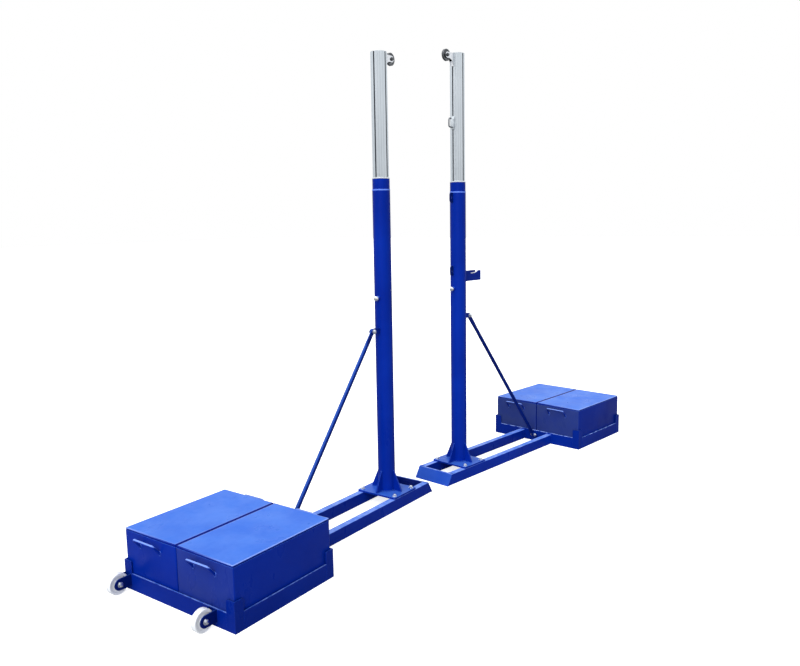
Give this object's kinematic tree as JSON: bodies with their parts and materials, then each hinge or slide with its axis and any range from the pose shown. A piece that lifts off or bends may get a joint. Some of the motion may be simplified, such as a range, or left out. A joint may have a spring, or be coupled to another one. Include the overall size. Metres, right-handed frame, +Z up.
{
  "type": "volleyball net post",
  "caption": "Pair of movable volleyball net posts: telescopic aluminium masts in blue braced tubes, on wheeled bases with lift-out weight blocks; one post has the rope hardware",
  "frame": {"origin": "On the floor, at the middle of the box round the pair of posts.", "axes": "+Z up. +X runs along the net line, from the plain post to the tension post. The plain post's base lies along X; the tension post's base is turned 172.5 degrees about Z."},
  "size_m": [3.9975, 1.0068, 2.658],
  "materials": {
    "blue_paint": "gloss royal-blue powder coat",
    "aluminium": "satin anodised extrusion",
    "chrome": "bright plated steel",
    "zinc": "bright zinc plate",
    "nylon": "white nylon",
    "black_plastic": "black moulded plastic",
    "ballast": "cast concrete"
  },
  "bodies": {
    "plain_frame": {"plain_rails": "blue_paint", "plain_toe_bar": "blue_paint", "plain_tray_rim": "blue_paint", "plain_tray_floor": "blue_paint", "plain_corner_uprights": "blue_paint", "plain_wheel_forks": "blue_paint", "plain_wheel_bolts": "zinc", "plain_foot_plate": "blue_paint", "plain_gussets": "blue_paint", "plain_foot_bolts": "zinc", "plain_outer_tube": "blue_paint", "plain_guide_collar": "blue_paint", "plain_brace": "blue_paint", "plain_brace_lugs": "blue_paint", "plain_brace_bolts": "zinc"},
    "plain_mast": {"plain_mast_tube": "aluminium", "plain_slide_ring": "black_plastic", "plain_mast_cap": "black_plastic", "plain_pulley_bracket": "chrome", "plain_pulley_pin": "chrome"},
    "plain_pulley": {"plain_pulley_wheel": "chrome"},
    "plain_wheel_left": {"plain_left_wheel": "nylon"},
    "plain_wheel_right": {"plain_right_wheel": "nylon"},
    "plain_block_left": {"plain_left_weight_case": "blue_paint", "plain_left_weight_fill": "ballast"},
    "plain_block_right": {"plain_right_weight_case": "blue_paint", "plain_right_weight_fill": "ballast"},
    "plain_clamp": {"plain_clamp_screw": "zinc"},
    "tension_frame": {"tension_rails": "blue_paint", "tension_toe_bar": "blue_paint", "tension_tray_rim": "blue_paint", "tension_tray_floor": "blue_paint", "tension_corner_uprights": "blue_paint", "tension_wheel_forks": "blue_paint", "tension_wheel_bolts": "zinc", "tension_foot_plate": "blue_paint", "tension_gussets": "blue_paint", "tension_foot_bolts": "zinc", "tension_outer_tube": "blue_paint", "tension_guide_collar": "blue_paint", "tension_brace": "blue_paint", "tension_brace_lugs": "blue_paint", "tension_brace_bolts": "zinc", "tension_net_eyes": "blue_paint", "tension_cleat_bracket": "blue_paint", "tension_cleat": "chrome"},
    "tension_mast": {"tension_mast_tube": "aluminium", "tension_slide_ring": "black_plastic", "tension_mast_cap": "black_plastic", "tension_pulley_bracket": "chrome", "tension_pulley_pin": "chrome", "tension_rope_hook": "chrome"},
    "tension_pulley": {"tension_pulley_wheel": "chrome"},
    "tension_wheel_left": {"tension_left_wheel": "nylon"},
    "tension_wheel_right": {"tension_right_wheel": "nylon"},
    "tension_block_left": {"tension_left_weight_case": "blue_paint", "tension_left_weight_fill": "ballast"},
    "tension_block_right": {"tension_right_weight_case": "blue_paint", "tension_right_weight_fill": "ballast"},
    "tension_clamp": {"tension_clamp_screw": "zinc"}
  },
  "joints": [
    {"name": "plain_mast_slide", "type": "slide", "parent": "plain_frame", "child": "plain_mast", "axis": [0, 0, 1], "range_m": [-0.45, 0.1]},
    {"name": "plain_pulley_spin", "type": "hinge", "parent": "plain_mast", "child": "plain_pulley", "pos_m": [-0.26106, 0.12901, 2.528], "axis": [0, 1, 0], "continuous": true},
    {"name": "plain_left_wheel_spin", "type": "hinge", "parent": "plain_frame", "child": "plain_wheel_left", "pos_m": [-1.94906, 0.46601, 0.052], "axis": [0, 1, 0], "continuous": true},
    {"name": "plain_right_wheel_spin", "type": "hinge", "parent": "plain_frame", "child": "plain_wheel_right", "pos_m": [-1.94906, -0.10599, 0.052], "axis": [0, 1, 0], "continuous": true},
    {"name": "plain_left_block_lift", "type": "slide", "parent": "plain_frame", "child": "plain_block_left", "axis": [0, 0, 1], "range_m": [0, 0.3]},
    {"name": "plain_right_block_lift", "type": "slide", "parent": "plain_frame", "child": "plain_block_right", "axis": [0, 0, 1], "range_m": [0, 0.3]},
    {"name": "plain_clamp_travel", "type": "slide", "parent": "plain_frame", "child": "plain_clamp", "axis": [-1, 0, 0], "range_m": [0, 0.008]},
    {"name": "tension_mast_slide", "type": "slide", "parent": "tension_frame", "child": "tension_mast", "axis": [0, 0, 1], "range_m": [-0.27, 0.05]},
    {"name": "tension_pulley_spin", "type": "hinge", "parent": "tension_mast", "child": "tension_pulley", "pos_m": [0.22985, 0.06885, 2.623], "axis": [-0.1305, -0.9914, 0], "continuous": true},
    {"name": "tension_left_wheel_spin", "type": "hinge", "parent": "tension_frame", "child": "tension_wheel_left", "pos_m": [1.87274, -0.38447, 0.052], "axis": [-0.1305, -0.9914, 0], "continuous": true},
    {"name": "tension_right_wheel_spin", "type": "hinge", "parent": "tension_frame", "child": "tension_wheel_right", "pos_m": [1.9474, 0.18264, 0.052], "axis": [-0.1305, -0.9914, 0], "continuous": true},
    {"name": "tension_left_block_lift", "type": "slide", "parent": "tension_frame", "child": "tension_block_left", "axis": [0, 0, 1], "range_m": [0, 0.3]},
    {"name": "tension_right_block_lift", "type": "slide", "parent": "tension_frame", "child": "tension_block_right", "axis": [0, 0, 1], "range_m": [0, 0.3]},
    {"name": "tension_clamp_travel", "type": "slide", "parent": "tension_frame", "child": "tension_clamp", "axis": [-0.9914, 0.1305, 0], "range_m": [0, 0.008]},
    {"name": "posts_apart", "type": "slide", "parent": "plain_frame", "child": "tension_frame", "axis": [1, 0, 0], "range_m": [0, 10]}
  ]
}
